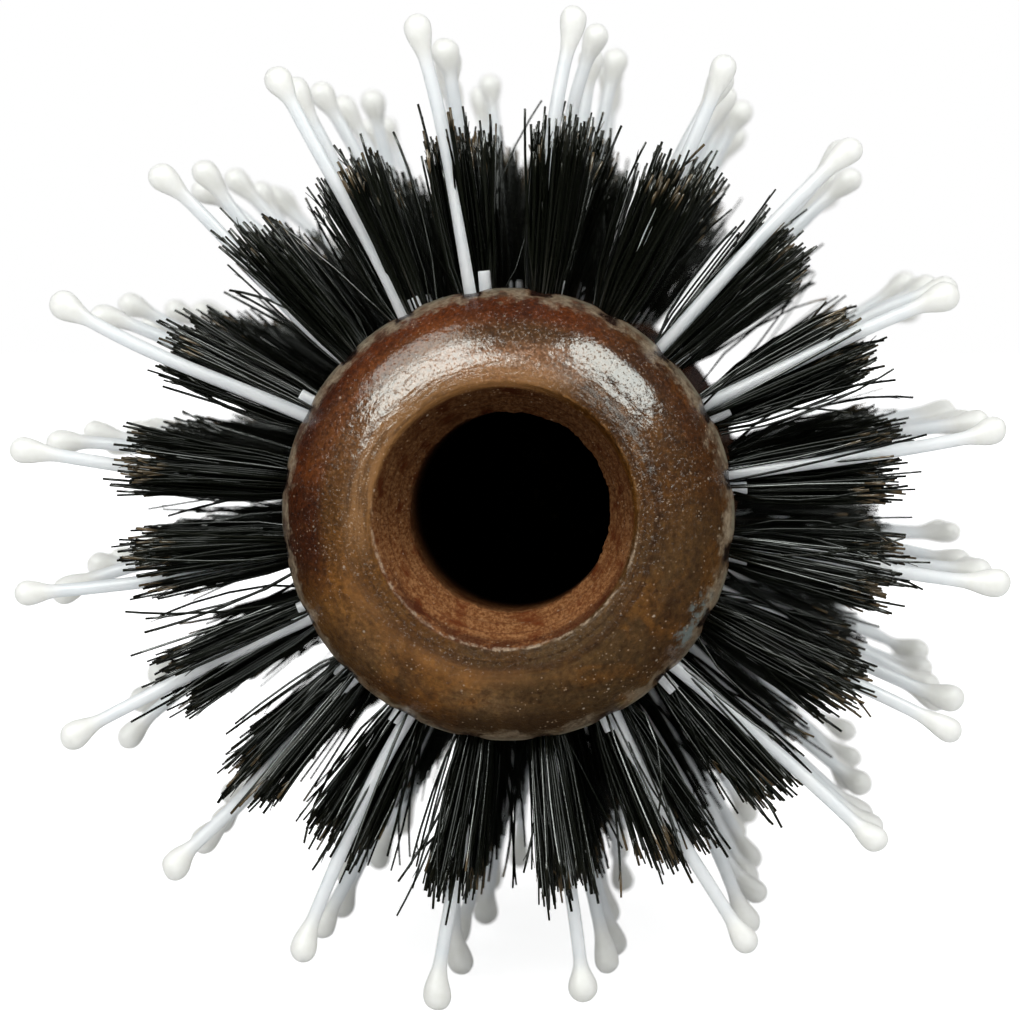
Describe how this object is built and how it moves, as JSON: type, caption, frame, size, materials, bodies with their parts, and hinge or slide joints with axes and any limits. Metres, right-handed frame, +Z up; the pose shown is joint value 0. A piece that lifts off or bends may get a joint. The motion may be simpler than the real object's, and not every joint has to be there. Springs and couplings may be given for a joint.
{
  "type": "round barrel hair brush",
  "caption": "Round hair brush: dark stained wooden barrel with a countersunk bore, straight rows of mixed boar-bristle tufts and ball-tipped nylon pins, turned wooden handle.",
  "frame": {"origin": "centre of the flat face at the butt of the handle", "axes": "+Y out of the handle butt along the brush's axis, the barrel tip faces -Y; +Z up, with the brush lying on two of its pin rows"},
  "size_m": [0.0622, 0.21, 0.0622],
  "materials": {
    "barrel_wood": "gloss",
    "handle_wood": "gloss",
    "boar_bristle": "satin",
    "white_nylon": "satin"
  },
  "bodies": {
    "root": {"barrel": "barrel_wood", "handle": "handle_wood", "bristle_row_01": "boar_bristle", "bristle_row_02": "boar_bristle", "bristle_row_03": "boar_bristle", "bristle_row_04": "boar_bristle", "bristle_row_05": "boar_bristle", "bristle_row_06": "boar_bristle", "bristle_row_07": "boar_bristle", "bristle_row_08": "boar_bristle", "bristle_row_09": "boar_bristle", "bristle_row_10": "boar_bristle", "bristle_row_11": "boar_bristle", "bristle_row_12": "boar_bristle", "bristle_row_13": "boar_bristle", "bristle_row_14": "boar_bristle", "bristle_row_15": "boar_bristle", "bristle_row_16": "boar_bristle", "bristle_row_17": "boar_bristle", "bristle_row_18": "boar_bristle", "bristle_row_19": "boar_bristle", "bristle_row_20": "boar_bristle", "pin_row_01": "white_nylon", "pin_row_02": "white_nylon", "pin_row_03": "white_nylon", "pin_row_04": "white_nylon", "pin_row_05": "white_nylon", "pin_row_06": "white_nylon", "pin_row_07": "white_nylon", "pin_row_08": "white_nylon", "pin_row_09": "white_nylon", "pin_row_10": "white_nylon", "pin_row_11": "white_nylon", "pin_row_12": "white_nylon", "pin_row_13": "white_nylon", "pin_row_14": "white_nylon", "pin_row_15": "white_nylon", "pin_row_16": "white_nylon", "pin_row_17": "white_nylon", "pin_row_18": "white_nylon", "pin_row_19": "white_nylon", "pin_row_20": "white_nylon"}
  },
  "joints": []
}
